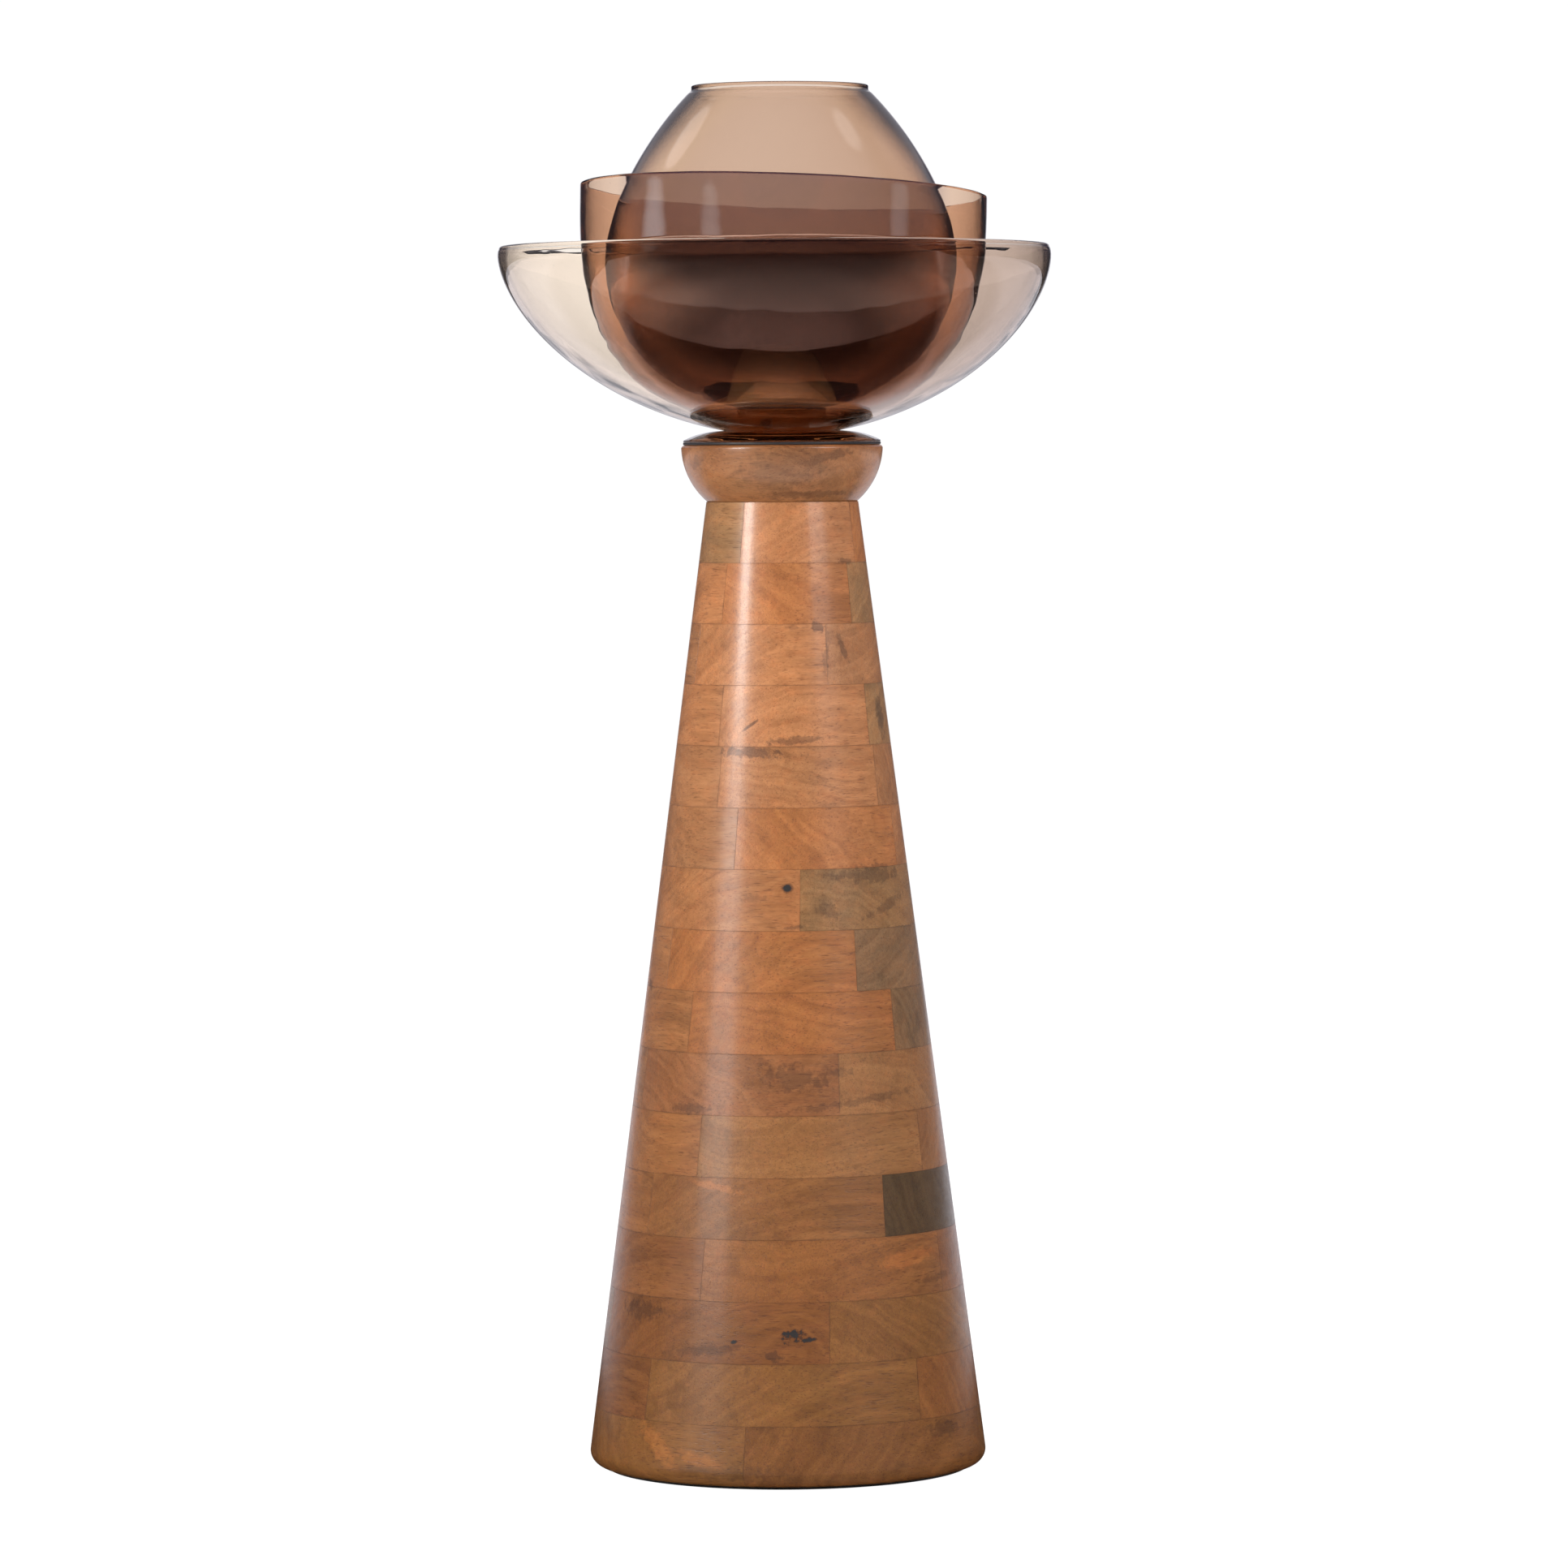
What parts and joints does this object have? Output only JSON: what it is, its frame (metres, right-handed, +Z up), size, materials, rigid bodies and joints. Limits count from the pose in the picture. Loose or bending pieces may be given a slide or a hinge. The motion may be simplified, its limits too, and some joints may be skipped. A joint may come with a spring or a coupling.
{
  "type": "baptismal font",
  "caption": "Tapered laminated-wood pedestal with a turned cup on top that carries three nested smoked-glass bowls and a small candle dish.",
  "frame": {"origin": "on the floor, on the pedestal's axis", "axes": "+Z up along the pedestal's axis, -Y is the front, +X is the viewer's right"},
  "size_m": [0.3999, 0.4, 1],
  "materials": {
    "pedestal_wood": "semi-gloss lacquer over laminated boards",
    "plywood": "raw birch plywood",
    "dowel_wood": "plain beech",
    "outer_glass": "polished amber-tinted glass",
    "middle_glass": "polished smoked amber glass",
    "globe_glass": "polished smoked rose-amber glass",
    "black_rubber": "matt black sheet rubber",
    "felt": "pressed black felt",
    "zinc_screws": "zinc plated",
    "black_enamel": "satin black paint",
    "clear_silicone": "clear silicone"
  },
  "bodies": {
    "pedestal": {"felt_ring": "felt", "base_cap": "plywood", "base_cap_screws": "zinc_screws", "course_01": "pedestal_wood", "course_02": "pedestal_wood", "course_03": "pedestal_wood", "course_04": "pedestal_wood", "course_05": "pedestal_wood", "course_06": "pedestal_wood", "course_07": "pedestal_wood", "course_08": "pedestal_wood", "course_09": "pedestal_wood", "course_10": "pedestal_wood", "course_11": "pedestal_wood", "course_12": "pedestal_wood", "course_13": "pedestal_wood", "course_14": "pedestal_wood", "course_15": "pedestal_wood", "course_16": "pedestal_wood", "collar_dowel": "dowel_wood", "collar": "pedestal_wood", "collar_screws": "zinc_screws", "seat_gasket": "black_rubber"},
    "outer_bowl": {"glass_foot": "outer_glass", "outer_bowl": "outer_glass", "lower_pad": "clear_silicone"},
    "middle_bowl": {"middle_bowl": "middle_glass", "cradle_ring": "clear_silicone"},
    "globe": {"globe": "globe_glass"},
    "candle_dish": {"candle_dish": "black_enamel", "dish_feet": "clear_silicone"}
  },
  "joints": [
    {"name": "outer_bowl_lift", "type": "slide", "parent": "pedestal", "child": "outer_bowl", "axis": [0, 0, 1], "range_m": [0, 0.1]},
    {"name": "middle_bowl_lift", "type": "slide", "parent": "outer_bowl", "child": "middle_bowl", "axis": [0, 0, 1], "range_m": [0, 0.16]},
    {"name": "globe_lift", "type": "slide", "parent": "middle_bowl", "child": "globe", "axis": [0, 0, 1], "range_m": [0, 0.2]},
    {"name": "candle_dish_lift", "type": "slide", "parent": "globe", "child": "candle_dish", "axis": [0, 0, 1], "range_m": [0, 0.26]}
  ]
}
